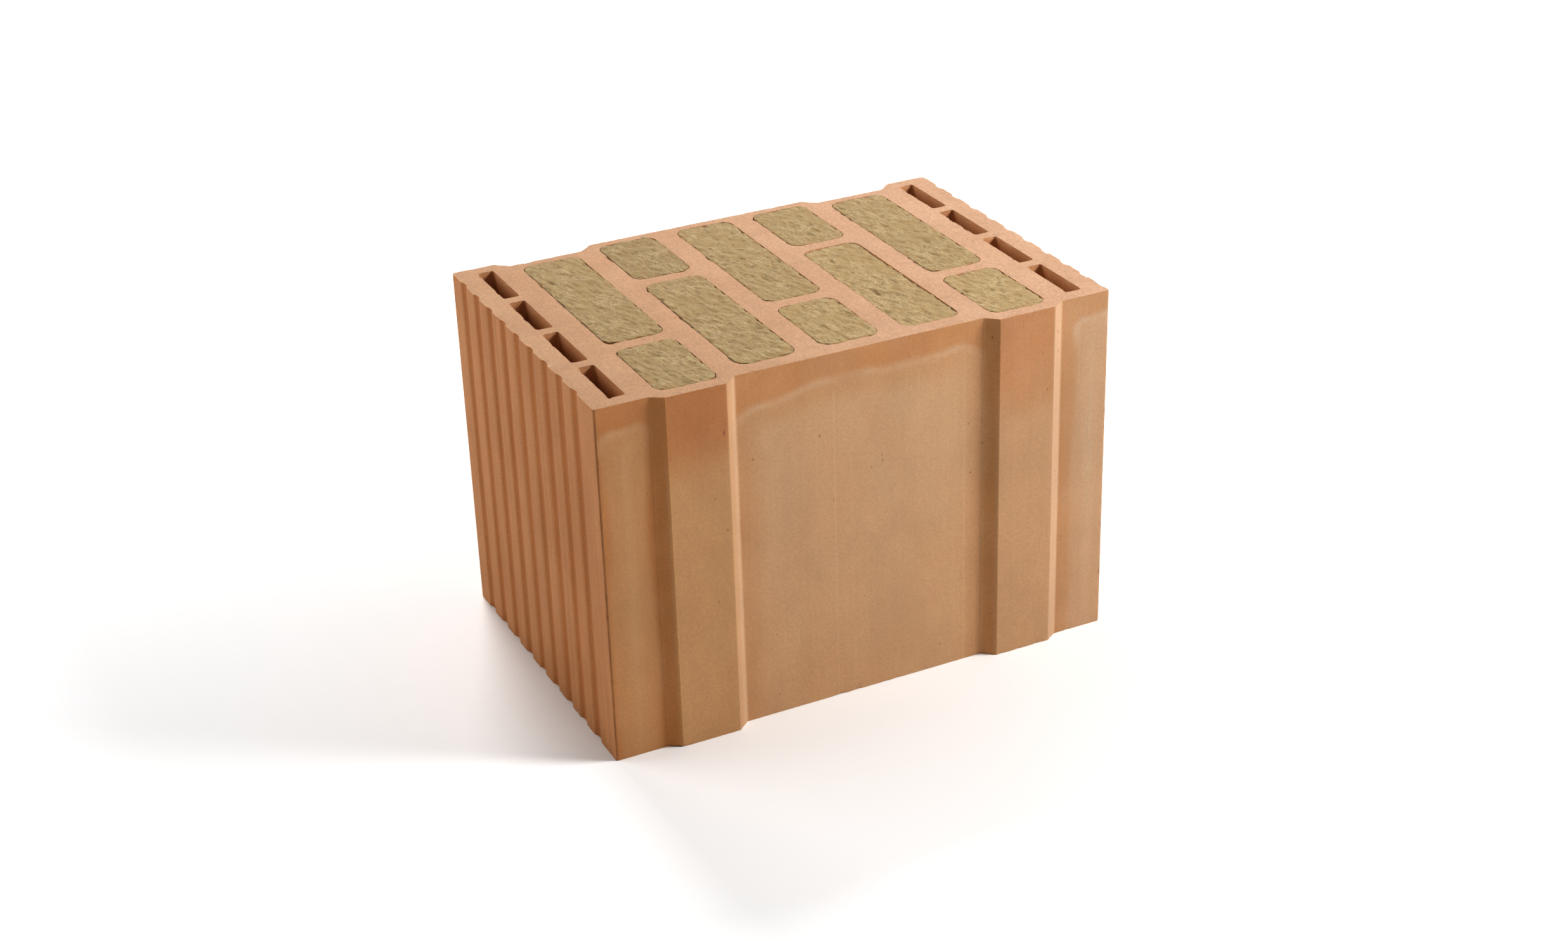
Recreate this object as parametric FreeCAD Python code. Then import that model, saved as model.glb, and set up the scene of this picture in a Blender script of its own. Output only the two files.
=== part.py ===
import FreeCAD, Part
import math
import os

# Fired clay wall block with wool-filled cells, standing on its bed face as it is laid.
# X runs through the wall, Y along it and Z up, in millimetres.
# The origin is the middle of the base, with the tongues counted in.

# Body
wall_thickness = 365.0  # between the two plaster faces
block_length = 247.0  # from the back lands to the outer front lands
block_height = 249.0  # between the two ground bed faces
front_corner_radius = 1.5
back_corner_radius = 3.0

# Shells and webs across the wall; the cells take the width that these leave
outer_shell = 15.0  # outside the open slots
slot_width = 11.0
inner_shell = 18.4  # between the open slots and the first cells
column_web = 16.9  # between two columns of cells
column_count = 5

# Shells and webs along the wall; the long cells and the slots take the length that these leave
back_shell = 6.8  # behind the cells
front_shell = 12.2  # in front of the cells between the tongues
tongue_shell = 10.0  # in front of the cells behind a tongue
cell_web = 10.7  # between the long and the short cell of a column
short_cell_length = 69.0
cell_corner_radius = 8.0
slot_back_wall = 10.0
slot_front_wall = 10.9
slot_web = 8.8  # between two slots of a row
slot_count = 4  # in each row
slot_corner_radius = 2.0

# Tongues on the front end, and the grooves on the back end that take the next block's tongues
tongue_tip_width = 41.0
tongue_slope_run = 8.2
tongue_height = 5.5  # above the outer lands
tongue_edge_radius = 1.5
tongue_root_radius = 3.5
middle_recess = 1.7  # of the land between the tongues, behind the outer lands
groove_side_clearance = 5.5
groove_tip_clearance = 2.3
groove_slope_run = 9.0
groove_edge_radius = 2.0
groove_root_radius = 4.0

# Upright round-bottomed grooves that key the plaster
key_pitch = 24.1
key_radius = 11.0
key_depth = 1.6
key_first = 30.6  # from the front land to the middle of the first groove

# Wool pads
pad_end_recess = 0.5  # below each bed face

# No rounding takes more than this part of the straight side beside it
rounding_share = 0.45

# Places that follow from the sizes
half_thickness = wall_thickness / 2
back_y = (block_length + tongue_height) / 2
front_y = back_y - block_length
tongue_tip_y = front_y - tongue_height
middle_y = front_y + middle_recess
groove_floor_y = back_y - tongue_height - groove_tip_clearance
cell_zone = wall_thickness - 2 * (outer_shell + slot_width + inner_shell)
cell_width = (cell_zone - (column_count - 1) * column_web) / column_count
column_pitch = cell_width + column_web
slot_zone = block_length - slot_back_wall - slot_front_wall
slot_length = (slot_zone - (slot_count - 1) * slot_web) / slot_count
key_zone = block_length - key_first - key_radius - back_corner_radius
key_count = int(key_zone / key_pitch) + 1


def column_x(column):
    # Middle of a column of cells, counted from the left plaster face
    return (column - (column_count - 1) / 2) * column_pitch


# The tongues and their grooves stand in line with the outermost columns
tongue_x = column_x(column_count - 1)


def corner_arc(before, corner, after, radius):
    # Tangent arc that eases one corner of an outline
    to_before = (before - corner).normalize()
    to_after = (after - corner).normalize()
    half_angle = to_before.getAngle(to_after) / 2
    shorter_side = min(before.distanceToPoint(corner), after.distanceToPoint(corner))
    setback = min(radius / math.tan(half_angle), rounding_share * shorter_side)
    apex_distance = setback / math.cos(half_angle) - setback * math.tan(half_angle)
    apex = corner + (to_before + to_after).normalize() * apex_distance
    return Part.Arc(corner + to_before * setback, apex, corner + to_after * setback)


def rounded_outline(corners):
    # Closed wire through corners given as x, y and the radius that eases each one
    points = [FreeCAD.Vector(x, y, 0) for x, y, radius in corners]
    arcs = []
    for index, (x, y, radius) in enumerate(corners):
        following = points[(index + 1) % len(points)]
        arcs.append(corner_arc(points[index - 1], points[index], following, radius))
    edges = []
    for index, arc in enumerate(arcs):
        edges.append(Part.makeLine(arcs[index - 1].EndPoint, arc.StartPoint))
        edges.append(arc.toShape())
    return Part.Wire(edges)


def rounded_rectangle(middle_x, low_y, width, length, radius):
    left = middle_x - width / 2
    right = middle_x + width / 2
    high_y = low_y + length
    corners = [(left, low_y), (right, low_y), (right, high_y), (left, high_y)]
    return rounded_outline([(x, y, radius) for x, y in corners])


def tongue_corners():
    # Right-hand tongue, from the land between the tongues to the outer land
    tip_edge = tongue_tip_width / 2
    return [
        (tongue_x - tip_edge - tongue_slope_run, middle_y, tongue_root_radius),
        (tongue_x - tip_edge, tongue_tip_y, tongue_edge_radius),
        (tongue_x + tip_edge, tongue_tip_y, tongue_edge_radius),
        (tongue_x + tip_edge + tongue_slope_run, front_y, tongue_root_radius),
    ]


def groove_corners():
    # Right-hand groove, from the outer land to the land between the grooves
    floor_edge = tongue_tip_width / 2 + groove_side_clearance
    return [
        (tongue_x + floor_edge + groove_slope_run, back_y, groove_edge_radius),
        (tongue_x + floor_edge, groove_floor_y, groove_root_radius),
        (tongue_x - floor_edge, groove_floor_y, groove_root_radius),
        (tongue_x - floor_edge - groove_slope_run, back_y, groove_edge_radius),
    ]


def key_discs():
    # Plaster grooves, as discs that bite into both plaster faces
    key_x = half_thickness + key_radius - key_depth
    discs = []
    for middle_x in (-key_x, key_x):
        for key in range(key_count):
            middle = FreeCAD.Vector(middle_x, front_y + key_first + key * key_pitch, 0)
            discs.append(Part.Face(Part.Wire(Part.makeCircle(key_radius, middle))))
    return discs


def section_outline():
    right_half = tongue_corners()
    right_half.append((half_thickness, front_y, front_corner_radius))
    right_half.append((half_thickness, back_y, back_corner_radius))
    right_half += groove_corners()
    left_half = [(-x, y, radius) for x, y, radius in reversed(right_half)]
    return rounded_outline(right_half + left_half)


def slot_outlines():
    # Open slots, one row behind each plaster face
    slot_x = half_thickness - outer_shell - slot_width / 2
    outlines = []
    for middle_x in (-slot_x, slot_x):
        for slot in range(slot_count):
            low_y = front_y + slot_front_wall + slot * (slot_length + slot_web)
            outlines.append(rounded_rectangle(middle_x, low_y, slot_width, slot_length, slot_corner_radius))
    return outlines


def column_cells(column):
    # Long and short cell of one column; the long cell's end changes from column to column
    in_line_with_tongue = column in (0, column_count - 1)
    low_y = tongue_tip_y + tongue_shell if in_line_with_tongue else middle_y + front_shell
    high_y = (groove_floor_y if in_line_with_tongue else back_y) - back_shell
    long_cell_length = high_y - low_y - cell_web - short_cell_length
    long_at_back = column % 2 == 0
    long_y = high_y - long_cell_length if long_at_back else low_y
    short_y = low_y if long_at_back else high_y - short_cell_length
    middle_x = column_x(column)
    return {
        "long": rounded_rectangle(middle_x, long_y, cell_width, long_cell_length, cell_corner_radius),
        "short": rounded_rectangle(middle_x, short_y, cell_width, short_cell_length, cell_corner_radius),
    }


def extruded(section, low_z, height):
    profile = section.copy()
    profile.translate(FreeCAD.Vector(0, 0, low_z))
    return profile.extrude(FreeCAD.Vector(0, 0, height))


# The clay body is one extrusion, and each pad fills its cell from wall to wall
sub_parts = {}
cell_outlines = []
pad_height = block_height - 2 * pad_end_recess
for column in range(column_count):
    for size, outline in column_cells(column).items():
        cell_outlines.append(outline)
        sub_parts[f"wool_pad_{size}_{column + 1}"] = extruded(Part.Face(outline), pad_end_recess, pad_height)
clay_outlines = [section_outline()] + slot_outlines() + cell_outlines
ungrooved_section = Part.makeFace(clay_outlines, "Part::FaceMakerBullseye")
clay_section = ungrooved_section.cut(key_discs()).Faces[0]
sub_parts["clay_block"] = extruded(clay_section, 0, block_height)

os.makedirs("parts", exist_ok=True)
for node, shape in sub_parts.items():
    shape.exportStep(f"parts/{node}.step")
    print(node, shape.isValid(), len(shape.Solids), round(shape.Volume / 1e6, 4), "dm3")
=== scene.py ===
import bpy
import bmesh
import math
import random
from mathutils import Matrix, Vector, kdtree, noise


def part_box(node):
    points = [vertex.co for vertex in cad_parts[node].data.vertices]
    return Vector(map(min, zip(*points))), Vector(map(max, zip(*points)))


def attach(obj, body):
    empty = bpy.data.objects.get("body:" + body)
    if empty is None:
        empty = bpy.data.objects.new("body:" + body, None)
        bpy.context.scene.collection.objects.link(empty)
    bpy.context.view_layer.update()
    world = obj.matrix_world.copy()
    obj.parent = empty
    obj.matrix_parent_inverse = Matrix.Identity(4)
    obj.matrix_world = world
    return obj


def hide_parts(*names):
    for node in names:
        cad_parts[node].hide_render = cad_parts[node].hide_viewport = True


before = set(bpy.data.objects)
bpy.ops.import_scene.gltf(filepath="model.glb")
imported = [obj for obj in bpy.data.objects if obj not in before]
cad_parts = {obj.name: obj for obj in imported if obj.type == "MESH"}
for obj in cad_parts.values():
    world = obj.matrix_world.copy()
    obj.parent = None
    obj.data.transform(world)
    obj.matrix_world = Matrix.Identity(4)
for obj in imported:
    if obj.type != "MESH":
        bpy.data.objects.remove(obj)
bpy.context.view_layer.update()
scene = bpy.context.scene
mm = 0.001
white = (1, 1, 1, 1)
black = (0, 0, 0, 1)


# Node helpers

def feed(tree, socket, value):
    # Links another node's socket, or sets a fixed value
    if isinstance(value, bpy.types.NodeSocket):
        tree.links.new(value, socket)
    else:
        socket.default_value = value


def addNode(tree, kind, inputs=None, **settings):
    node = tree.nodes.new(kind)
    for name, value in settings.items():
        setattr(node, name, value)
    for name, value in (inputs or {}).items():
        feed(tree, node.inputs[name], value)
    return node


def calc(tree, operation, *values):
    return addNode(tree, "ShaderNodeMath", dict(enumerate(values)), operation=operation).outputs[0]


def plus(tree, first, second):
    return calc(tree, "ADD", first, second)


def minus(tree, first, second):
    return calc(tree, "SUBTRACT", first, second)


def times(tree, first, second):
    return calc(tree, "MULTIPLY", first, second)


def larger(tree, first, second):
    return calc(tree, "MAXIMUM", first, second)


def unsigned(tree, value):
    return calc(tree, "ABSOLUTE", value)


def diagonal(tree, first, second):
    squares = plus(tree, calc(tree, "POWER", first, 2), calc(tree, "POWER", second, 2))
    return calc(tree, "SQRT", squares)


def remap(tree, value, low, high, toLow=0, toHigh=1):
    limits = {"Value": value, "From Min": low, "From Max": high, "To Min": toLow, "To Max": toHigh}
    return addNode(tree, "ShaderNodeMapRange", limits, interpolation_type="SMOOTHSTEP").outputs["Result"]


def blend(tree, factor, first, second, mode="MIX"):
    inputs = {"Factor": factor, 6: first, 7: second}  # 6 and 7 are the two colours
    return addNode(tree, "ShaderNodeMix", inputs, data_type="RGBA", blend_type=mode).outputs[2]


def toned(tree, color, value):
    return addNode(tree, "ShaderNodeHueSaturation", {"Color": color, "Value": value}).outputs[0]


def axes(tree, vector):
    return addNode(tree, "ShaderNodeSeparateXYZ", {0: vector}).outputs


def stretched(tree, vector, scale, detail=3, rough=0.55):
    # Noise on coordinates scaled differently along each axis
    spread = addNode(tree, "ShaderNodeMapping", {"Vector": vector, "Scale": scale})
    settings = {"Vector": spread.outputs[0], "Scale": 1, "Detail": detail, "Roughness": rough}
    return addNode(tree, "ShaderNodeTexNoise", settings).outputs["Fac"]


def newGroup(name, inputs, outputs):
    group = bpy.data.node_groups.new(name, "ShaderNodeTree")
    for label, kind, value in inputs:
        socket = group.interface.new_socket(label, in_out="INPUT", socket_type="NodeSocket" + kind)
        if value is not None:
            socket.default_value = value
    for label, kind in outputs:
        group.interface.new_socket(label, in_out="OUTPUT", socket_type="NodeSocket" + kind)
    return group, addNode(group, "NodeGroupInput").outputs, addNode(group, "NodeGroupOutput").inputs


def placeGroup(tree, group, inputs):
    return addNode(tree, "ShaderNodeGroup", inputs, node_tree=group).outputs


def newMaterial(name):
    material = bpy.data.materials.new(name)
    material.use_nodes = True
    tree = material.node_tree
    place = addNode(tree, "ShaderNodeTexCoord").outputs["Object"]
    return material, tree, tree.nodes["Principled BSDF"], place


def addBump(tree, shader, height, distance, strength):
    inputs = {"Height": height, "Distance": distance, "Strength": strength}
    tree.links.new(addNode(tree, "ShaderNodeBump", inputs).outputs[0], shader.inputs["Normal"])


# Finishes of the fired clay
# Noises below are scale along each axis, detail and roughness
# Ranges are from low, from high, to low, to high

clayTones = {
    "pressedOrange": (0.468, 0.241, 0.107, 1),  # bare skin of the pressed ends
    "pressedTan": (0.505, 0.325, 0.188, 1),  # where the firing has bloomed
    "bloomLine": (0.560, 0.398, 0.268, 1),
    "tongueRed": (0.456, 0.232, 0.109, 1),
    "keyed": (0.478, 0.232, 0.099, 1),
    "keyedDark": (0.435, 0.200, 0.080, 1),
    "keyGroove": (0.88, 0.75, 0.56, 1),  # painted shade in the grooves; multiplies the skin's tone
    "ground": (0.426, 0.258, 0.160, 1),
    "groundPale": (0.464, 0.290, 0.186, 1),
    "groundLeft": (0.94, 0.915, 0.85, 1),  # these two multiply the tones of the bed faces as painted light, darker on the left and paler on the right
    "groundRight": (1.035, 1.05, 1.085, 1),
    "cellWall": (0.560, 0.315, 0.170, 1),
    "cellDark": (0.500, 0.270, 0.138, 1),
    "speck": (0.17, 0.072, 0.032, 1),
    "pit": (0.26, 0.105, 0.050, 1),
    "crease": (0.245, 0.108, 0.043, 1),
    "rubbed": (0.494, 0.320, 0.199, 1),  # painted light: the paler tone of the slopes that face right
    "pink": (0.520, 0.300, 0.168, 1),
    "paleGrain": (0.72, 0.470, 0.320, 1),
    # These multiply the tones of the pressed end as painted light and shade across it, darker on the left
    # and paler on the right
    "castBare": (0.93, 0.83, 0.70, 1),  # painted shade on the bare skin on the left
    "castBloom": (1.00, 0.965, 0.87, 1),  # painted shade on the bloom on the left
    "castTongue": (0.96, 0.95, 0.95, 1),  # painted shade on the right tongue
    "castRight": (0.96, 1.04, 1.18, 1),  # painted light on the outer land on the right
    "slopeLeft": (1.20, 1.23, 1.20, 1),  # painted light: lightens the slopes that face left
}

grainLook = {
    "clouds": ((24, 24, 16), 5, 0.6),
    "cloudShare": (0.36, 0.68, 0, 0.8),
    "grain": ((620, 620, 620), 4, 0.7),
    "grainSwing": (0.25, 0.75, -1, 1),
    "grainHeight": 0.5,
    "patches": ((70, 70, 70), 2),  # where specks and pale grains gather
    "speckScale": 140,
    "speckStretch": (1, 1, 0.6),
    "speckRadius": (0.45, 1, 0.0, 0.12),  # half of the specks have no size at all
    "speckEdge": (0.0, -0.05),
    "speckPatches": (0.38, 0.54),
    "speckStrength": (0, 1, 0.35, 0.9),
    "paleScale": 330,
    "paleRadius": (0.08, 0.16, 0.35, 0),
    "palePatches": (0.5, 0.4),
    "roughness": (0.25, 0.75, 0.66, 0.9),
}


def makeClayGrain():
    # Mottling, fine grain, dark specks and pale grains of the clay itself
    look = grainLook
    group, given, out = newGroup(
        "clayGrain",
        [("Vector", "Vector", None), ("Clay", "Color", None), ("Mottle", "Color", None),
         ("Specks", "Float", 0.5), ("Contrast", "Float", 0.14), ("Pale", "Float", 0.3)],
        [("Color", "Color"), ("Roughness", "Float"), ("Height", "Float")],
    )
    place = given["Vector"]
    clouds = stretched(group, place, *look["clouds"])
    grain = stretched(group, place, *look["grain"])
    patches = stretched(group, place, *look["patches"])
    color = blend(group, remap(group, clouds, *look["cloudShare"]), given["Clay"], given["Mottle"])
    swing = times(group, remap(group, grain, *look["grainSwing"]), given["Contrast"])
    color = toned(group, color, plus(group, swing, 1))
    tall = addNode(group, "ShaderNodeMapping", {"Vector": place, "Scale": look["speckStretch"]}).outputs[0]
    spots = addNode(group, "ShaderNodeTexVoronoi", {"Vector": tall, "Scale": look["speckScale"]}).outputs
    chance = addNode(group, "ShaderNodeSeparateColor", {0: spots["Color"]}).outputs
    radius = remap(group, chance[0], *look["speckRadius"])
    specks = remap(group, minus(group, spots["Distance"], radius), *look["speckEdge"])
    specks = times(group, specks, remap(group, patches, *look["speckPatches"]))
    specks = times(group, specks, given["Specks"])
    specks = times(group, specks, remap(group, chance[1], *look["speckStrength"]))
    dots = addNode(group, "ShaderNodeTexVoronoi", {"Vector": place, "Scale": look["paleScale"]}).outputs
    grains = remap(group, dots["Distance"], *look["paleRadius"])
    grains = times(group, grains, remap(group, patches, *look["palePatches"]))
    grains = times(group, grains, given["Pale"])
    color = blend(group, grains, color, clayTones["paleGrain"])
    color = blend(group, specks, color, clayTones["speck"])
    group.links.new(color, out["Color"])
    group.links.new(remap(group, grain, *look["roughness"]), out["Roughness"])
    group.links.new(minus(group, times(group, grain, look["grainHeight"]), specks), out["Height"])
    return group


streakNoise = ((330, 330, 5), 4, 0.6)


def makeDragLines():
    # Faint upright streaks that the die leaves on the wet clay
    group, given, out = newGroup("dragLines", [("Vector", "Vector", None)], [("Streak", "Float")])
    group.links.new(stretched(group, given["Vector"], *streakNoise), out["Streak"])
    return group


bloomLook = {
    "wander": ((19, 19, 9), 1),
    "wanderReach": 14 * mm,
    "rim": (1 * mm, -6 * mm, 0, 0.55),  # half of the fill comes in at the edge
    "heart": (-7 * mm, -24 * mm, 0, 0.45),  # and the rest further in
    "lineInset": 2 * mm,
    "line": (4.8 * mm, 0),
    "lineFade": (-24 * mm, -3 * mm, 0.04, 1),  # the line fades down the sides
}


def makeBloomPanel():
    # Soft-edged panel with a rounded top, open towards the base, and the pale line over it
    look = bloomLook
    group, given, out = newGroup(
        "bloomPanel",
        [("Vector", "Vector", None), ("MidX", "Float", 0), ("HalfWidth", "Float", 0.05),
         ("Top", "Float", 0.23), ("Tilt", "Float", 0), ("Rounding", "Float", 0.008)],
        [("Fill", "Float"), ("Line", "Float")],
    )
    place = axes(group, given["Vector"])
    wander = minus(group, stretched(group, given["Vector"], *look["wander"]), 0.5)
    wander = times(group, wander, look["wanderReach"])
    offMiddle = minus(group, place["X"], given["MidX"])
    aside = minus(group, plus(group, unsigned(group, offMiddle), wander), given["HalfWidth"])
    aside = plus(group, aside, given["Rounding"])
    top = plus(group, given["Top"], times(group, offMiddle, given["Tilt"]))
    overTop = minus(group, plus(group, place["Z"], wander), top)
    above = plus(group, overTop, given["Rounding"])
    outside = diagonal(group, larger(group, aside, 0), larger(group, above, 0))
    inside = calc(group, "MINIMUM", larger(group, aside, above), 0)
    reach = minus(group, plus(group, outside, inside), given["Rounding"])
    fill = plus(group, remap(group, reach, *look["rim"]), remap(group, reach, *look["heart"]))
    group.links.new(fill, out["Fill"])
    line = remap(group, unsigned(group, plus(group, reach, look["lineInset"])), *look["line"])
    line = times(group, line, remap(group, overTop, *look["lineFade"]))
    group.links.new(line, out["Line"])
    return group


pitLook = {
    "uneven": ((700, 700, 700), 2),
    "unevenShare": 0.6,
    "edge": (1.5, 0.5),  # in half widths from the middle
}


def makePit():
    # One small oval pit on the front end
    group, given, out = newGroup(
        "pitMark",
        [("Vector", "Vector", None), ("X", "Float", 0), ("Z", "Float", 0),
         ("HalfWide", "Float", 1), ("HalfHigh", "Float", 1)],
        [("Mask", "Float")],
    )
    place = axes(group, given["Vector"])
    aside = calc(group, "DIVIDE", minus(group, place["X"], given["X"]), given["HalfWide"])
    above = calc(group, "DIVIDE", minus(group, place["Z"], given["Z"]), given["HalfHigh"])
    uneven = times(group, stretched(group, given["Vector"], *pitLook["uneven"]), pitLook["unevenShare"])
    mask = remap(group, plus(group, diagonal(group, aside, above), uneven), *pitLook["edge"])
    group.links.new(times(group, mask, calc(group, "LESS_THAN", place["Y"], 0)), out["Mask"])
    return group


arris = {
    "x": 0.1821,  # middle line of the crease
    "y": -0.12035,
    "halfWidth": 0.65 * mm,
    "core": 0.2 * mm,  # fully dark up to here
    "blots": ((90, 90, 110), 3),
    "blotReach": (0.54, 0.70, 0, 1.1 * mm),
    "breaks": ((9, 9, 34), 3),
    "breakShare": (0.36, 0.62, 0.15, 1),
    "tint": 0.6,
}


def makeArris():
    # Dark, blotted crease down the two front corners
    group, given, out = newGroup("arrisCrease", [("Vector", "Vector", None)], [("Crease", "Float")])
    place = axes(group, given["Vector"])
    aside = minus(group, unsigned(group, place["X"]), arris["x"])
    along = minus(group, place["Y"], arris["y"])
    blots = remap(group, stretched(group, given["Vector"], *arris["blots"]), *arris["blotReach"])
    faint = remap(group, stretched(group, given["Vector"], *arris["breaks"]), *arris["breakShare"])
    away = minus(group, diagonal(group, aside, along), blots)
    crease = remap(group, away, arris["halfWidth"], arris["core"])
    group.links.new(times(group, crease, faint), out["Crease"])
    return group


clayGrain = makeClayGrain()
dragLines = makeDragLines()
bloomPanel = makeBloomPanel()
arrisCrease = makeArris()
pitMark = makePit()
print("clay effects ready")


def finishClay(tree, shader, color, roughness, height, bump):
    tree.links.new(color, shader.inputs["Base Color"])
    tree.links.new(roughness, shader.inputs["Roughness"])
    addBump(tree, shader, height, *bump)


pressed = {
    "panels": {
        "left": {"MidX": -0.1645, "HalfWidth": 0.0172, "Top": 0.2335, "Tilt": 0, "Rounding": 0.009},
        "middle": {"MidX": 0.0, "HalfWidth": 0.0915, "Top": 0.2320, "Tilt": 0.05, "Rounding": 0.022},
        "right": {"MidX": 0.1695, "HalfWidth": 0.0150, "Top": 0.2350, "Tilt": 0, "Rounding": 0.007},
    },
    "patches": ((21, 21, 13), 4),
    "patchShare": (0.25, 0.6, 0.8, 1),
    "thinning": (0.19, 0.02, 0, 0.20),  # the bloom thins out towards the base
    "tongueX": 0.11724,
    "tongueEdge": (0.024, 0.019),
    "redWander": 0.09,
    "red": (0.212, 0.288, 0, 0.9),
    "tan": (0.282, 0.218, 0, 0.75),
    "pinkPatches": ((34, 34, 26), 3),
    "pinkShare": (0.42, 0.7, 0, 0.28),
    "lineBreaks": ((26, 26, 26), 2),
    "lineShare": (0.3, 0.65, 0.15, 0.52),
    # Pale upright lines left by the die: across and half width in millimetres, strength
    "seams": [(-20.6, 0.7, 0.34), (74.5, 1.2, 0.20)],
    "seamTop": (0.233, 0.22),
    # Slopes of the tongues, from the middle of a tongue
    "slopeFrom": 0.0200,
    "slopeTo": 0.0290,
    "rubbedSoft": 1.0 * mm,
    "shadedSoft": 0.5 * mm,
    # Where each band of painted light or shade ends or begins across the front
    "leftEnds": (-0.098, -0.088),
    "tongueBegins": (0.088, 0.096),
    "rightBegins": (0.143, 0.152),
    "streakTone": (0.25, 0.75, 0.985, 1.015),
    # painted light: the pressed end grows paler towards its base
    "baseTone": (0.16, 0.02, 0.98, 1.06),
    "mottle": 0.9,
    "grain": {"Specks": 0.8, "Contrast": 0.09, "Pale": 0.1},
    # Pits on the front end: across, up, half width and half height, in millimetres
    "pits": [(-100.1, 216.2, 0.9, 2.2), (-77.7, 189.2, 0.8, 1.0), (-30.9, 194.1, 0.7, 1.6),
             (88.0, 160.4, 0.8, 1.0), (79.2, 140.8, 0.8, 0.9), (5.4, 163.1, 0.6, 0.7),
             (132.5, 191.4, 0.7, 0.9)],
    "pitTint": 0.8,
    "pitDepth": 1.5,
    "streakHeight": 0.3,
    "bump": (0.12 * mm, 0.7),
}


def makePressedClay():
    material, tree, shader, place = newMaterial("clayPressed")
    x, y, z = axes(tree, place)
    front = calc(tree, "LESS_THAN", y, 0)

    # Tan bloom on bare orange, and red at the top of the tongues
    fill, line = None, None
    for values in pressed["panels"].values():
        panel = placeGroup(tree, bloomPanel, {"Vector": place, **values})
        fill = larger(tree, fill, panel["Fill"]) if fill else panel["Fill"]
        line = larger(tree, line, panel["Line"]) if line else panel["Line"]
    patchy = stretched(tree, place, *pressed["patches"])
    thinned = minus(tree, remap(tree, patchy, *pressed["patchShare"]), remap(tree, z, *pressed["thinning"]))
    fill = times(tree, fill, thinned)
    offTongue = minus(tree, unsigned(tree, x), pressed["tongueX"])
    onTongue = remap(tree, unsigned(tree, offTongue), *pressed["tongueEdge"])
    edge = plus(tree, z, times(tree, patchy, pressed["redWander"]))
    red = times(tree, onTongue, remap(tree, edge, *pressed["red"]))
    tan = times(tree, onTongue, remap(tree, edge, *pressed["tan"]))
    bloomed = larger(tree, fill, tan)
    skin = blend(tree, bloomed, clayTones["pressedOrange"], clayTones["pressedTan"])
    skin = blend(tree, red, skin, clayTones["tongueRed"])
    pinkish = stretched(tree, place, *pressed["pinkPatches"])
    skin = blend(tree, remap(tree, pinkish, *pressed["pinkShare"]), skin, clayTones["pink"])

    # Pale lines over the panels and down the front
    broken = remap(tree, stretched(tree, place, *pressed["lineBreaks"]), *pressed["lineShare"])
    skin = blend(tree, times(tree, line, broken), skin, clayTones["bloomLine"])
    onFront = times(tree, front, remap(tree, z, *pressed["seamTop"]))
    for across, wide, strength in pressed["seams"]:
        aside = unsigned(tree, minus(tree, x, across * mm))
        seam = times(tree, remap(tree, aside, wide * mm, 0, 0, strength), onFront)
        skin = blend(tree, seam, skin, clayTones["bloomLine"])

    # Painted light on the slopes of the tongues, and painted light and shade across the front
    toRight = times(tree, offTongue, calc(tree, "SIGN", times(tree, x, front)))
    midSlope = (pressed["slopeFrom"] + pressed["slopeTo"]) / 2
    halfSlope = (pressed["slopeTo"] - pressed["slopeFrom"]) / 2
    soft = pressed["rubbedSoft"]
    # painted light: slopes that face right take a paler tone
    rubbed = unsigned(tree, minus(tree, toRight, midSlope))
    rubbed = remap(tree, rubbed, halfSlope + soft, halfSlope - soft)
    skin = blend(tree, rubbed, skin, clayTones["rubbed"])
    # painted light and shade across the front: darker on the left, paler on the right
    paintedLight = blend(tree, bloomed, clayTones["castBare"], clayTones["castBloom"])
    paintedLight = blend(tree, remap(tree, x, *pressed["leftEnds"]), paintedLight, white)
    paintedLight = blend(tree, remap(tree, x, *pressed["tongueBegins"]), paintedLight, clayTones["castTongue"])
    paintedLight = blend(tree, remap(tree, x, *pressed["rightBegins"]), paintedLight, clayTones["castRight"])
    skin = blend(tree, 1, skin, paintedLight, "MULTIPLY")
    # painted light: the slopes that face left are lightened
    soft = pressed["shadedSoft"]
    leftSlopeLit = unsigned(tree, plus(tree, toRight, midSlope))
    leftSlopeLit = remap(tree, leftSlopeLit, halfSlope + soft, halfSlope - soft)
    skin = blend(tree, leftSlopeLit, skin, clayTones["slopeLeft"], "MULTIPLY")

    # Streaks, grain, creases and pits
    streak = placeGroup(tree, dragLines, {"Vector": place})["Streak"]
    # drag streaks, and painted light that makes the end paler towards its base
    tone = times(tree, remap(tree, streak, *pressed["streakTone"]), remap(tree, z, *pressed["baseTone"]))
    skin = toned(tree, skin, tone)
    tones = {"Clay": skin, "Mottle": toned(tree, skin, pressed["mottle"])}
    grain = placeGroup(tree, clayGrain, {"Vector": place, **tones, **pressed["grain"]})
    crease = placeGroup(tree, arrisCrease, {"Vector": place})["Crease"]
    skin = blend(tree, times(tree, crease, arris["tint"]), grain["Color"], clayTones["crease"])
    sunk = None
    for across, up, wide, high in pressed["pits"]:
        spot = {"X": across * mm, "Z": up * mm, "HalfWide": wide * mm, "HalfHigh": high * mm}
        pit = placeGroup(tree, pitMark, {"Vector": place, **spot})["Mask"]
        sunk = larger(tree, sunk, pit) if sunk else pit
    skin = blend(tree, times(tree, sunk, pressed["pitTint"]), skin, clayTones["pit"])
    relief = plus(tree, grain["Height"], times(tree, streak, pressed["streakHeight"]))
    relief = minus(tree, relief, times(tree, sunk, pressed["pitDepth"]))
    finishClay(tree, shader, skin, grain["Roughness"], relief, pressed["bump"])
    return material


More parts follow.
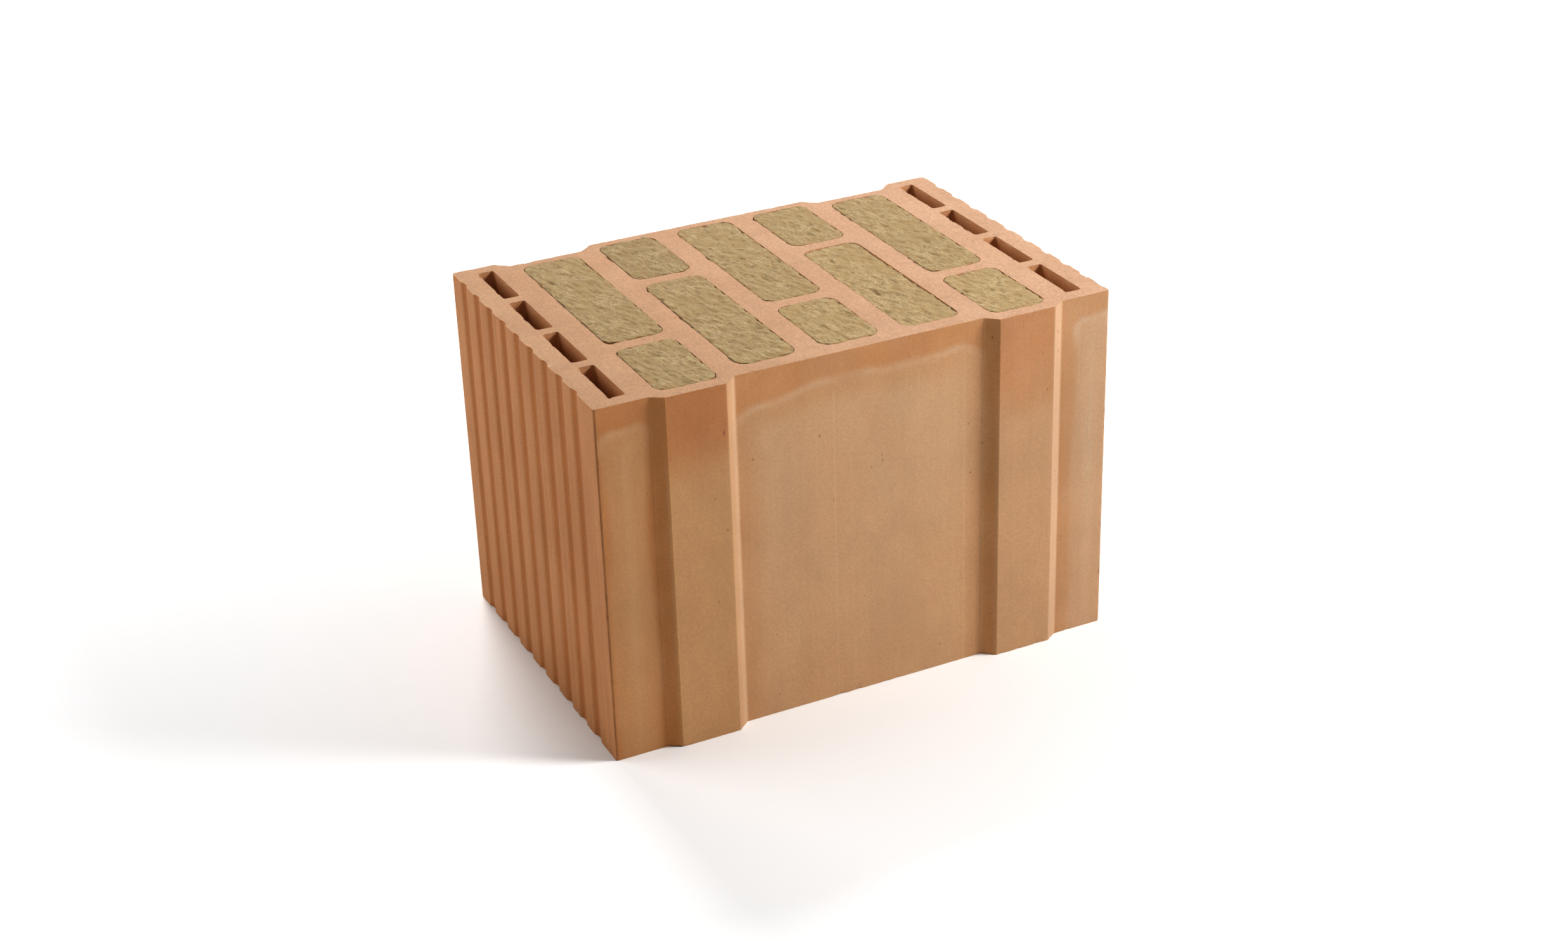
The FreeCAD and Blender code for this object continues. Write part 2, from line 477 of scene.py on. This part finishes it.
keyed = {
    "land": 0.18245,  # how far out the skin has no painted groove shade
    "floor": 0.18145,  # and where the painted groove shade is full
    "backWalls": (0.35, -0.2, 0.35, 1),  # the painted shade is weaker on groove walls that face back, so these stay brighter
    "streakTone": (0.25, 0.75, 0.93, 1.07),
    "grain": {"Specks": 0.9},
    "bump": (0.15 * mm, 0.7),
}


def makeKeyedClay():
    material, tree, shader, place = newMaterial("clayKeyed")
    streak = placeGroup(tree, dragLines, {"Vector": place})["Streak"]
    tones = {"Clay": clayTones["keyed"], "Mottle": clayTones["keyedDark"]}
    grain = placeGroup(tree, clayGrain, {"Vector": place, **tones, **keyed["grain"]})
    skin = toned(tree, grain["Color"], remap(tree, streak, *keyed["streakTone"]))
    # painted shade in the grooves, deepest on the walls that face front
    depth = unsigned(tree, axes(tree, place)["X"])
    grooveShade = remap(tree, depth, keyed["land"], keyed["floor"])
    facing = axes(tree, addNode(tree, "ShaderNodeTexCoord").outputs["Normal"])["Y"]
    grooveShade = times(tree, grooveShade, remap(tree, facing, *keyed["backWalls"]))
    skin = blend(tree, grooveShade, skin, clayTones["keyGroove"], "MULTIPLY")
    crease = placeGroup(tree, arrisCrease, {"Vector": place})["Crease"]
    skin = blend(tree, times(tree, crease, arris["tint"]), skin, clayTones["crease"])
    relief = plus(tree, grain["Height"], streak)
    finishClay(tree, shader, skin, grain["Roughness"], relief, keyed["bump"])
    return material


ground = {
    "scratches": ((950, 28, 200), 3, 0.65),  # grinding marks along the block
    "scratchTone": (0.25, 0.75, 0.965, 1.035),
    "grain": {"Specks": 0.8, "Contrast": 0.18, "Pale": 0.8},
    "castAcross": (-0.18, 0.18),
    "bump": (0.2 * mm, 0.8),
}


def makeGroundClay():
    material, tree, shader, place = newMaterial("clayGround")
    scratch = stretched(tree, place, *ground["scratches"])
    tones = {"Clay": clayTones["ground"], "Mottle": clayTones["groundPale"]}
    grain = placeGroup(tree, clayGrain, {"Vector": place, **tones, **ground["grain"]})
    skin = toned(tree, grain["Color"], remap(tree, scratch, *ground["scratchTone"]))
    # painted light across the bed faces: darker on the left, paler on the right
    across = remap(tree, axes(tree, place)["X"], *ground["castAcross"])
    paintedLight = blend(tree, across, clayTones["groundLeft"], clayTones["groundRight"])
    skin = blend(tree, 1, skin, paintedLight, "MULTIPLY")
    relief = plus(tree, grain["Height"], scratch)
    finishClay(tree, shader, skin, grain["Roughness"], relief, ground["bump"])
    return material


cell = {"grain": {"Specks": 0.6}, "bump": (0.2 * mm, 0.7)}


def makeCellClay():
    material, tree, shader, place = newMaterial("clayCell")
    streak = placeGroup(tree, dragLines, {"Vector": place})["Streak"]
    tones = {"Clay": clayTones["cellWall"], "Mottle": clayTones["cellDark"]}
    grain = placeGroup(tree, clayGrain, {"Vector": place, **tones, **cell["grain"]})
    relief = plus(tree, grain["Height"], streak)
    finishClay(tree, shader, grain["Color"], grain["Roughness"], relief, cell["bump"])
    return material


# Clay body

clayBody = {
    "weld": 0.01 * mm,
    "rimStep": 1.9 * mm,  # points along the arrises
    "edgeRows": (0.4 * mm, 0.7 * mm, 1.3 * mm, 3.6 * mm),  # close rows beside each bed face
    "middleRows": 13,
    "rings": (0.4 * mm, 0.7 * mm),  # rows on the bed faces round each opening
    "ragged": 0.22 * mm,  # fine unevenness of the arrises
    "raggedScale": 850,
    "raggedBias": 0.5,
    "chip": 1.5 * mm,
    "chipScale": 130,
    "chipSeed": (5, 1, 9),
    "chipShare": 0.22,  # higher leaves fewer chips
    "chipRagged": 0.6,
    "crumbleReach": 1.0 * mm,
    "crumbleEnd": 3.0 * mm,
    "wave": 0.14 * mm,  # slow unevenness of the walls
    "waveScale": (16, 16, 9),
    "drag": 0.035 * mm,
    "dragScale": (380, 380, 4),
    "smoothAngle": 32,
    # Parts of a normal that tell flat faces, walls and finishes apart
    "flat": 0.9,
    "wall": 0.5,
    "bedFace": 0.6,
    "plasterFace": 0.6,
    "cellSide": 0.95,
    # How deep the outer finishes reach
    "plasterDepth": 4 * mm,
    "frontDepth": 9.5 * mm,
    "backDepth": 9 * mm,
}


def bedRim(node):
    # The CAD block's lower rims as loose edges
    bm = bmesh.new()
    bm.from_mesh(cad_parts[node].data)
    bmesh.ops.remove_doubles(bm, verts=bm.verts, dist=clayBody["weld"])
    low = min(v.co.z for v in bm.verts)
    rest = [f for f in bm.faces if f.calc_center_median().z > low + clayBody["weld"]]
    bmesh.ops.delete(bm, geom=rest, context="FACES")
    inner = [e for e in bm.edges if len(e.link_faces) == 2]
    bmesh.ops.delete(bm, geom=inner, context="EDGES")
    return bm


def splitLongEdges(bm, step):
    byCuts = {}
    for edge in bm.edges:
        byCuts.setdefault(int(edge.calc_length() / step), []).append(edge)
    for cuts, edges in byCuts.items():
        if cuts:
            bmesh.ops.subdivide_edges(bm, edges=edges, cuts=cuts)


def onlyVerts(geometry):
    return [g for g in geometry if isinstance(g, bmesh.types.BMVert)]


def raiseRows(bm, rises):
    cap = bm.faces[:] + bm.edges[:] + bm.verts[:]  # with edges and points, so that no inner cap stays
    for rise in rises:
        cap = bmesh.ops.extrude_face_region(bm, geom=cap)["geom"]
        bmesh.ops.translate(bm, verts=onlyVerts(cap), vec=(0, 0, rise))
    bmesh.ops.recalc_face_normals(bm, faces=bm.faces)


def noiseAt(at, scale):
    return noise.noise(Vector((at.x * scale[0], at.y * scale[1], at.z * scale[2])))


def weather(bm, rims):
    # Crumbled arrises, slow waves and drag lines, all along the surface's own normals
    tree = kdtree.KDTree(len(rims))
    for index, vert in enumerate(rims):
        tree.insert(vert.co, index)
    tree.balance()
    moves = []
    for vert in bm.verts:
        at = vert.co
        fine = noise.noise(at * clayBody["raggedScale"])
        inward = 0
        away = tree.find(at)[2]
        if away < clayBody["crumbleEnd"]:
            chip = noise.noise(at * clayBody["chipScale"] + Vector(clayBody["chipSeed"]))
            chip = max(0, chip - clayBody["chipShare"]) * clayBody["chip"]
            crumble = clayBody["ragged"] * max(0, clayBody["raggedBias"] + fine)
            crumble += chip * (1 + clayBody["chipRagged"] * fine)
            inward = crumble * math.exp(-(away / clayBody["crumbleReach"]) ** 2)
        if abs(vert.normal.z) < clayBody["wall"]:
            inward += clayBody["wave"] * noiseAt(at, clayBody["waveScale"])
            inward += clayBody["drag"] * noiseAt(at, clayBody["dragScale"])
        moves.append(vert.normal * -inward)
    for vert, move in zip(bm.verts, moves):
        vert.co += move


pressedSlot, keyedSlot, groundSlot, cellSlot = range(4)  # order of the body's materials


def finishOf(face, low, high):
    at, facing = face.calc_center_median(), face.normal
    if abs(facing.z) > clayBody["bedFace"]:
        return groundSlot
    if abs(at.x) > high.x - clayBody["plasterDepth"] and abs(facing.x) > clayBody["plasterFace"]:
        return keyedSlot
    if at.y < low.y + clayBody["frontDepth"]:
        return pressedSlot
    if at.y > high.y - clayBody["backDepth"] and abs(facing.x) < clayBody["cellSide"]:
        return pressedSlot
    return cellSlot


def buildClayBody():
    bm = bedRim("clay_block")
    splitLongEdges(bm, clayBody["rimStep"])
    bmesh.ops.triangle_fill(bm, use_beauty=True, edges=bm.edges[:], normal=(0, 0, 1))
    low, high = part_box("clay_block")
    edgeRows = clayBody["edgeRows"]
    middle = (high.z - low.z - 2 * sum(edgeRows)) / clayBody["middleRows"]
    raiseRows(bm, edgeRows + (middle,) * clayBody["middleRows"] + edgeRows[::-1])
    caps = [[f for f in bm.faces if f.normal.z * side > clayBody["flat"]] for side in (-1, 1)]
    capEdges = [e for cap in caps for f in cap for e in f.edges]
    rimEdges = [e for e in capEdges if any(abs(f.normal.z) < clayBody["wall"] for f in e.link_faces)]
    rims = list(dict.fromkeys(v for e in rimEdges for v in e.verts))  # each once, always in one order
    for cap in caps:
        for width in clayBody["rings"]:
            bmesh.ops.inset_region(bm, faces=cap, use_boundary=True, use_even_offset=True, thickness=width)
    bm.normal_update()
    weather(bm, rims)
    bm.normal_update()
    for face in bm.faces:
        face.material_index = finishOf(face, low, high)
    mesh = bpy.data.meshes.new("clayBody")
    bm.to_mesh(mesh)
    bm.free()
    for material in (makePressedClay(), makeKeyedClay(), makeGroundClay(), makeCellClay()):
        mesh.materials.append(material)
    mesh.shade_smooth()
    mesh.set_sharp_from_angle(angle=math.radians(clayBody["smoothAngle"]))
    body = bpy.data.objects.new("clayBody", mesh)
    scene.collection.objects.link(body)
    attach(body, "root")
    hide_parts("clay_block")
    return body


body = buildClayBody()
print("clay body", len(body.data.polygons), "faces")


# Wool pads

wool = {
    "gap": 0.25 * mm,  # between a pad and its cell
    "cornerRadius": 8 * mm,
    "grid": 0.6 * mm,  # points on the cut faces
    "collar": (0.25 * mm, 1.2 * mm, 2.5 * mm, 6 * mm),  # rows down the sides
    "baseRise": 1.5 * mm,  # of the lower cut face above the floor
    "lie": -17,  # how the fibres lie, in degrees off the length of the pad
    # Layers of the matted fibres: height, width and length in millimetres, and a seed of their own
    "strayAcross": (3.4, 15, 19, 0),
    "strayAlong": (5, 15, 24, 7),
    "lumps": (0.95, 5.5, 9, 20),
    "strands": (0.5, 2.2, 7, 3),
    "threads": (0.18, 1.2, 4, 11),
    "hollows": (1, 3.5, 11, 31),
    "hollowFrom": 0.5,
    "hollowDepth": 2.2,
    # Frayed edge of the cut faces: depth and reach in millimetres
    "fringe": 0.25,
    "fringeSwing": 0.9,
    "fringeReach": 0.8,
    "fringeScale": 260,
    "rimReach": 2.5,  # how far in the rust gathers
    "seed": 100,
    "padSeed": 17,  # from pad to pad
    "baseSeed": 50,  # from a pad's top to its base
    # Upper cut face above the bed face
    "proud": {
        "Long1": 0.35 * mm, "Long2": 0.2 * mm, "Long3": 0.0 * mm, "Long4": -0.6 * mm, "Long5": 0.2 * mm,
        "Short1": 0.1 * mm, "Short2": 0.3 * mm, "Short3": 0.0 * mm, "Short4": 0.2 * mm, "Short5": 0.0 * mm,
    },
    # Pads that are darker or paler than the rest
    "shade": {"Short2": 0.93, "Short3": 1.07, "Short5": 1.08, "Long4": 1.05},
    # Deep tears: across and along from the middle, half width and half length, depth, in millimetres
    "tears": {
        "Long1": [(-13, 52, 1.6, 6, 1.6), (-9, 44, 1.2, 5, 1.2), (-2, 40, 1.0, 4, 0.9)],
        "Long5": [(10, -40, 2.4, 2.0, 1.2)],
        "Long4": [(-12, -14, 1.2, 8, 0.8)],
    },
}


def matted(layer, u, w, seed):
    height, wide, long, ownSeed = layer
    return height * noise.noise(Vector((u / wide, w / long, seed + ownSeed)))


def loft(u, w, seed, tears=()):
    # Height of the fibres over the cut face, u across and w along the pad, all in millimetres
    turn = math.radians(wool["lie"])
    across, along = u * math.cos(turn) - w * math.sin(turn), u * math.sin(turn) + w * math.cos(turn)
    across += matted(wool["strayAcross"], u, w, seed)
    along += matted(wool["strayAlong"], u, w, seed)
    height = matted(wool["lumps"], across, along, seed)
    height += matted(wool["strands"], across, along, seed)
    height += matted(wool["threads"], across, along, seed)
    hollow = matted(wool["hollows"], across, along, seed) - wool["hollowFrom"]
    height -= wool["hollowDepth"] * max(0, hollow)
    for x, y, wide, long, depth in tears:
        height -= depth * math.exp(-((across - x) / wide) ** 2 - ((along - y) / long) ** 2)
    return height


def roundCorner(x, y, halfWidth, halfLength, radius):
    # Pulls a grid's square corner in to a round one
    a, b = abs(x) - halfWidth + radius, abs(y) - halfLength + radius
    if a <= 0 or b <= 0:
        return x, y
    pull = max(a, b) / math.hypot(a, b)
    return (
        math.copysign(halfWidth - radius + a * pull, x),
        math.copysign(halfLength - radius + b * pull, y),
    )


def cutFace(bm, low, high, level, seed, up, tears=()):
    # One end of a pad: a fine grid with torn fibres, and a collar of rows down its sides
    halfWidth = (high.x - low.x) / 2 - wool["gap"]
    halfLength = (high.y - low.y) / 2 - wool["gap"]
    columns, rows = round(2 * halfWidth / wool["grid"]), round(2 * halfLength / wool["grid"])
    verts = bmesh.ops.create_grid(bm, x_segments=columns, y_segments=rows, size=0.5)["verts"]
    faces = dict.fromkeys(f for v in verts for f in v.link_faces)
    rim = [e for f in faces for e in f.edges if len(e.link_faces) == 1]
    middle = (low + high) / 2
    heights, rims = bm.verts.layers.float["loft"], bm.verts.layers.float["rim"]
    for vert in verts:
        x, y = vert.co.x * 2 * halfWidth, vert.co.y * 2 * halfLength
        x, y = roundCorner(x, y, halfWidth, halfLength, wool["cornerRadius"])
        toEdge = max(min(halfWidth - abs(x), halfLength - abs(y)) / mm, 0)
        height = loft(x / mm, y / mm, seed, tears)
        fray = noise.noise(Vector((x * wool["fringeScale"], y * wool["fringeScale"], seed)))
        fringe = wool["fringe"] + wool["fringeSwing"] * fray
        height -= max(0, fringe) * math.exp(-toEdge / wool["fringeReach"])
        vert[heights] = height
        vert[rims] = math.exp(-toEdge / wool["rimReach"])
        vert.co = (middle.x + x, middle.y + y, level + up * height * mm)
    for depth in wool["collar"]:
        made = bmesh.ops.extrude_edge_only(bm, edges=rim)["geom"]
        bmesh.ops.translate(bm, verts=onlyVerts(made), vec=(0, 0, -up * depth))
        rim = [g for g in made if isinstance(g, bmesh.types.BMEdge)]
    return rim


fibre = {
    "area": 70 * mm * mm,  # cut face for each loose fibre
    "width": 0.07 * mm,
    "fromEdge": 3 * mm,
    "turn": 0.3,  # angles are in radians
    "crossShare": 0.12,  # fibres that lie across the rest
    "crossTurn": 1.2,
    "bend": 0.16,
    "step": (0.8, 2.6),  # between two points, in millimetres
    "lift": 0.04,
    "sunk": 0.03,
    "tip": 0.45,  # thickness at the ends, and what the middle has more
    "belly": 0.75,
    "tone": 1.2,  # as pale as the painted light on a crest of this height
}


def addFibres(bm, low, high, level, seed, draw, tears):
    # Loose fibres lying on the upper cut face, as a curve with many thin strands turned to mesh
    curve = bpy.data.curves.new("fibres", "CURVE")
    curve.dimensions = "3D"
    curve.bevel_depth = fibre["width"]
    curve.bevel_resolution = 0
    curve.resolution_u = 2
    curve.use_fill_caps = True
    middle = (low + high) / 2
    halfWidth = (high.x - low.x) / 2 - fibre["fromEdge"]
    halfLength = (high.y - low.y) / 2 - fibre["fromEdge"]
    last = 4  # number of the last point of a strand
    for strand in range(int(4 * halfWidth * halfLength / fibre["area"])):
        x, y = draw.uniform(-halfWidth, halfWidth), draw.uniform(-halfLength, halfLength)
        heading = math.radians(90 - wool["lie"]) + draw.gauss(0, fibre["turn"])
        crossing = draw.random() < fibre["crossShare"]
        heading += crossing * draw.uniform(-fibre["crossTurn"], fibre["crossTurn"])
        step = draw.uniform(*fibre["step"]) * mm
        spline = curve.splines.new("NURBS")
        spline.points.add(last)
        lift = draw.uniform(0, fibre["lift"])
        for index, point in enumerate(spline.points):
            height = loft(x / mm, y / mm, seed, tears) + lift * math.sin(math.pi * index / last)
            point.co = (middle.x + x, middle.y + y, level + (height - fibre["sunk"]) * mm, 1)
            point.radius = fibre["tip"] + fibre["belly"] * math.sin(math.pi * (index + 0.4) / (last + 0.8))
            heading += draw.gauss(0, fibre["bend"])
            x = max(-halfWidth, min(halfWidth, x + step * math.cos(heading)))
            y = max(-halfLength, min(halfLength, y + step * math.sin(heading)))
        spline.order_u = 3
        spline.use_endpoint_u = True
    strands = bpy.data.objects.new("fibres", curve)
    scene.collection.objects.link(strands)
    mesh = bpy.data.meshes.new_from_object(strands)
    before = len(bm.verts)
    bm.from_mesh(mesh)
    bm.verts.ensure_lookup_table()
    heights = bm.verts.layers.float["loft"]
    for vert in bm.verts[before:]:
        vert[heights] = fibre["tone"]
    bpy.data.objects.remove(strands)
    bpy.data.curves.remove(curve)
    bpy.data.meshes.remove(mesh)


woolLook = {
    "bend": ((60, 40, 60), 2),
    "bendReach": 11 * mm,
    "locks": ((430, 95, 430), 5, 0.7),
    "dark": (0.212, 0.142, 0.058, 1),
    "light": (0.392, 0.290, 0.151, 1),
    "lightShare": (0.3, 0.7),
    "hairs": ((1500, 330, 1500), 3, 0.6),
    "hair": (0.490, 0.380, 0.222, 1),
    "hairShare": (0.42, 0.72, 0, 0.75),
    "hairHeight": 0.35,
    "naps": ((820, 700, 820), 4, 0.7),
    "nap": (0.180, 0.116, 0.042, 1),
    "napShare": (0.52, 0.30, 0, 0.75),
    "napHeight": 0.6,
    "dullPatches": ((70, 45, 70), 3),
    "dull": (0.285, 0.197, 0.084, 1),
    "dullShare": (0.35, 0.65, 0, 0.6),
    "rustPatches": ((260, 200, 260), 3, 0.6),
    "rust": (0.310, 0.160, 0.048, 1),
    "rustShare": (0.5, 0.66),
    "rustOnRim": 0.45,
    "rustAnywhere": 0.2,
    # painted shade in the hollows of the fibres, and painted light on their crests
    "hollow": (0.110, 0.072, 0.026, 1),
    "hollowShare": (-0.25, -1.6, 0, 0.75),  # painted shade in the hollows, by height, in millimetres
    "crest": (0.448, 0.345, 0.198, 1),
    "crestShare": (0.2, 1.1, 0, 0.45),
    "roughness": 0.95,
    "sheen": 0.12,
    "bump": (0.45 * mm, 0.8),
}


def makeWool():
    look = woolLook
    material, tree, shader, place = newMaterial("mineralWool")
    height = addNode(tree, "ShaderNodeAttribute", attribute_name="loft").outputs["Fac"]
    rim = addNode(tree, "ShaderNodeAttribute", attribute_name="rim").outputs["Fac"]
    shade = addNode(tree, "ShaderNodeAttribute", attribute_name="shade").outputs["Fac"]
    lie = {"Vector": place, "Rotation": (0, 0, math.radians(wool["lie"]))}
    turned = addNode(tree, "ShaderNodeMapping", lie).outputs[0]
    bend = times(tree, stretched(tree, place, *look["bend"]), look["bendReach"])
    swirl = addNode(tree, "ShaderNodeCombineXYZ", {"X": bend}).outputs[0]
    combed = addNode(tree, "ShaderNodeVectorMath", {0: turned, 1: swirl}, operation="ADD").outputs[0]
    locks = stretched(tree, combed, *look["locks"])
    hairs = stretched(tree, combed, *look["hairs"])
    naps = stretched(tree, place, *look["naps"])
    dull = stretched(tree, place, *look["dullPatches"])
    rust = stretched(tree, place, *look["rustPatches"])
    color = blend(tree, remap(tree, locks, *look["lightShare"]), look["dark"], look["light"])
    color = blend(tree, remap(tree, hairs, *look["hairShare"]), color, look["hair"])
    color = blend(tree, remap(tree, naps, *look["napShare"]), color, look["nap"])
    color = blend(tree, remap(tree, dull, *look["dullShare"]), color, look["dull"])
    rusty = plus(tree, times(tree, rim, look["rustOnRim"]), look["rustAnywhere"])
    rusty = times(tree, remap(tree, rust, *look["rustShare"]), rusty)
    color = blend(tree, rusty, color, look["rust"])
    # painted shade in the hollows and painted light on the crests, by the fibres' height
    color = blend(tree, remap(tree, height, *look["hollowShare"]), color, look["hollow"])
    color = blend(tree, remap(tree, height, *look["crestShare"]), color, look["crest"])
    tree.links.new(toned(tree, color, shade), shader.inputs["Base Color"])
    shader.inputs["Roughness"].default_value = look["roughness"]
    shader.inputs["Sheen Weight"].default_value = look["sheen"]
    fine = plus(tree, times(tree, hairs, look["hairHeight"]), times(tree, naps, look["napHeight"]))
    addBump(tree, shader, plus(tree, locks, fine), *look["bump"])
    return material


def buildPad(node, label, seed, material):
    low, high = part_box(node)
    bm = bmesh.new()
    for layer in ("loft", "rim", "shade"):
        bm.verts.layers.float.new(layer)
    tears = wool["tears"].get(label, ())
    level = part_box("clay_block")[1].z + wool["proud"][label]
    top = cutFace(bm, low, high, level, seed, 1, tears)
    base = cutFace(bm, low, high, wool["baseRise"], seed + wool["baseSeed"], -1)
    bmesh.ops.bridge_loops(bm, edges=top + base)
    bmesh.ops.recalc_face_normals(bm, faces=bm.faces)
    addFibres(bm, low, high, level, seed, random.Random(seed), tears)
    shades = bm.verts.layers.float["shade"]
    for vert in bm.verts:
        vert[shades] = wool["shade"].get(label, 1)
    mesh = bpy.data.meshes.new("wool" + label)
    bm.to_mesh(mesh)
    bm.free()
    mesh.materials.append(material)
    mesh.shade_smooth()
    pad = bpy.data.objects.new("wool" + label, mesh)
    scene.collection.objects.link(pad)
    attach(pad, "root")
    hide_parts(node)
    return pad


mineralWool = makeWool()
for index, node in enumerate(sorted(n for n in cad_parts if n.startswith("wool_pad"))):
    kind, column = node.split("_")[2:]
    seed = wool["seed"] + wool["padSeed"] * index
    pad = buildPad(node, kind.capitalize() + column, seed, mineralWool)
    print(pad.name, len(pad.data.polygons), "faces")


# Floor, lights and camera

studio = {
    "aim": (0, 0, 0.12),
    "softboxes": {
        "keyLight": {"azimuth": 56, "elevation": 36, "distance": 1.5, "size": 0.55, "watts": 18.5},
        "backLight": {"azimuth": 180, "elevation": 52, "distance": 1.8, "size": 0.5, "watts": 17.5},
        "fillLight": {"azimuth": -120, "elevation": 25, "distance": 2.0, "size": 1.6, "watts": 13.8},
        "frontLight": {"azimuth": -25, "elevation": 28, "distance": 1.3, "size": 0.8, "watts": 0.25},
    },
    # Straight down on the floor behind the block
    "farLight": {"location": (0.75, 1.6, 1.6), "size": 1.0, "watts": 9, "spread": 90},
    "skyStrength": 0.10,
    "floor": (0.9, 0.9, 0.9, 1),
    "floorRoughness": 0.9,
    "floorReach": 15,
    # Far from the lights the floor glows a little, so that it stays pale from every side
    "glowRange": (0.8, 1.9),
    "glow": 0.5,
}


def addLamp(name, location, size, watts, rotation=(0, 0, 0), spread=180):
    light = bpy.data.lights.new(name, "AREA")
    light.shape = "DISK"
    light.size = size
    light.energy = watts
    light.spread = math.radians(spread)
    lamp = bpy.data.objects.new(name, light)
    lamp.location = location
    lamp.rotation_euler = rotation
    scene.collection.objects.link(lamp)


def addSoftbox(name, azimuth, elevation, distance, size, watts):
    turn, rise = math.radians(azimuth), math.radians(elevation)
    away = Vector((math.sin(turn) * math.cos(rise), -math.cos(turn) * math.cos(rise), math.sin(rise)))
    location = Vector(studio["aim"]) + distance * away
    addLamp(name, location, size, watts, rotation=(math.radians(90) - rise, 0, turn))


for name, values in studio["softboxes"].items():
    addSoftbox(name, **values)
addLamp("farLight", **studio["farLight"])
world = bpy.data.worlds.new("studio")
world.use_nodes = True
world.node_tree.nodes["Background"].inputs["Color"].default_value = white
world.node_tree.nodes["Background"].inputs["Strength"].default_value = studio["skyStrength"]
scene.world = world
scene.view_settings.view_transform = "Standard"
scene.view_settings.look = "High Contrast"

floorMesh = bmesh.new()
bmesh.ops.create_grid(floorMesh, x_segments=1, y_segments=1, size=studio["floorReach"])
floor = bpy.data.objects.new("floor", bpy.data.meshes.new("floor"))
floorMesh.to_mesh(floor.data)
floorMesh.free()
pale, floorTree, floorShader, floorPlace = newMaterial("paleFloor")
floorShader.inputs["Base Color"].default_value = studio["floor"]
floorShader.inputs["Roughness"].default_value = studio["floorRoughness"]
away = addNode(floorTree, "ShaderNodeVectorMath", {0: floorPlace}, operation="LENGTH").outputs["Value"]
glow = blend(floorTree, remap(floorTree, away, *studio["glowRange"]), black, white)
floorTree.links.new(glow, floorShader.inputs["Emission Color"])
floorShader.inputs["Emission Strength"].default_value = studio["glow"]
floor.data.materials.append(pale)
scene.collection.objects.link(floor)

view = {
    "lens": 57.6023,
    "sensor": 36,
    "location": (-0.66869, -1.38605, 0.88872),
    "rotation": (63.1379, 1.5753, -26.5886),  # degrees
}

camera = bpy.data.objects.new("camera", bpy.data.cameras.new("camera"))
camera.data.lens = view["lens"]
camera.data.sensor_width = view["sensor"]
camera.location = view["location"]
camera.rotation_euler = [math.radians(angle) for angle in view["rotation"]]
scene.collection.objects.link(camera)
scene.camera = camera
print("studio ready")
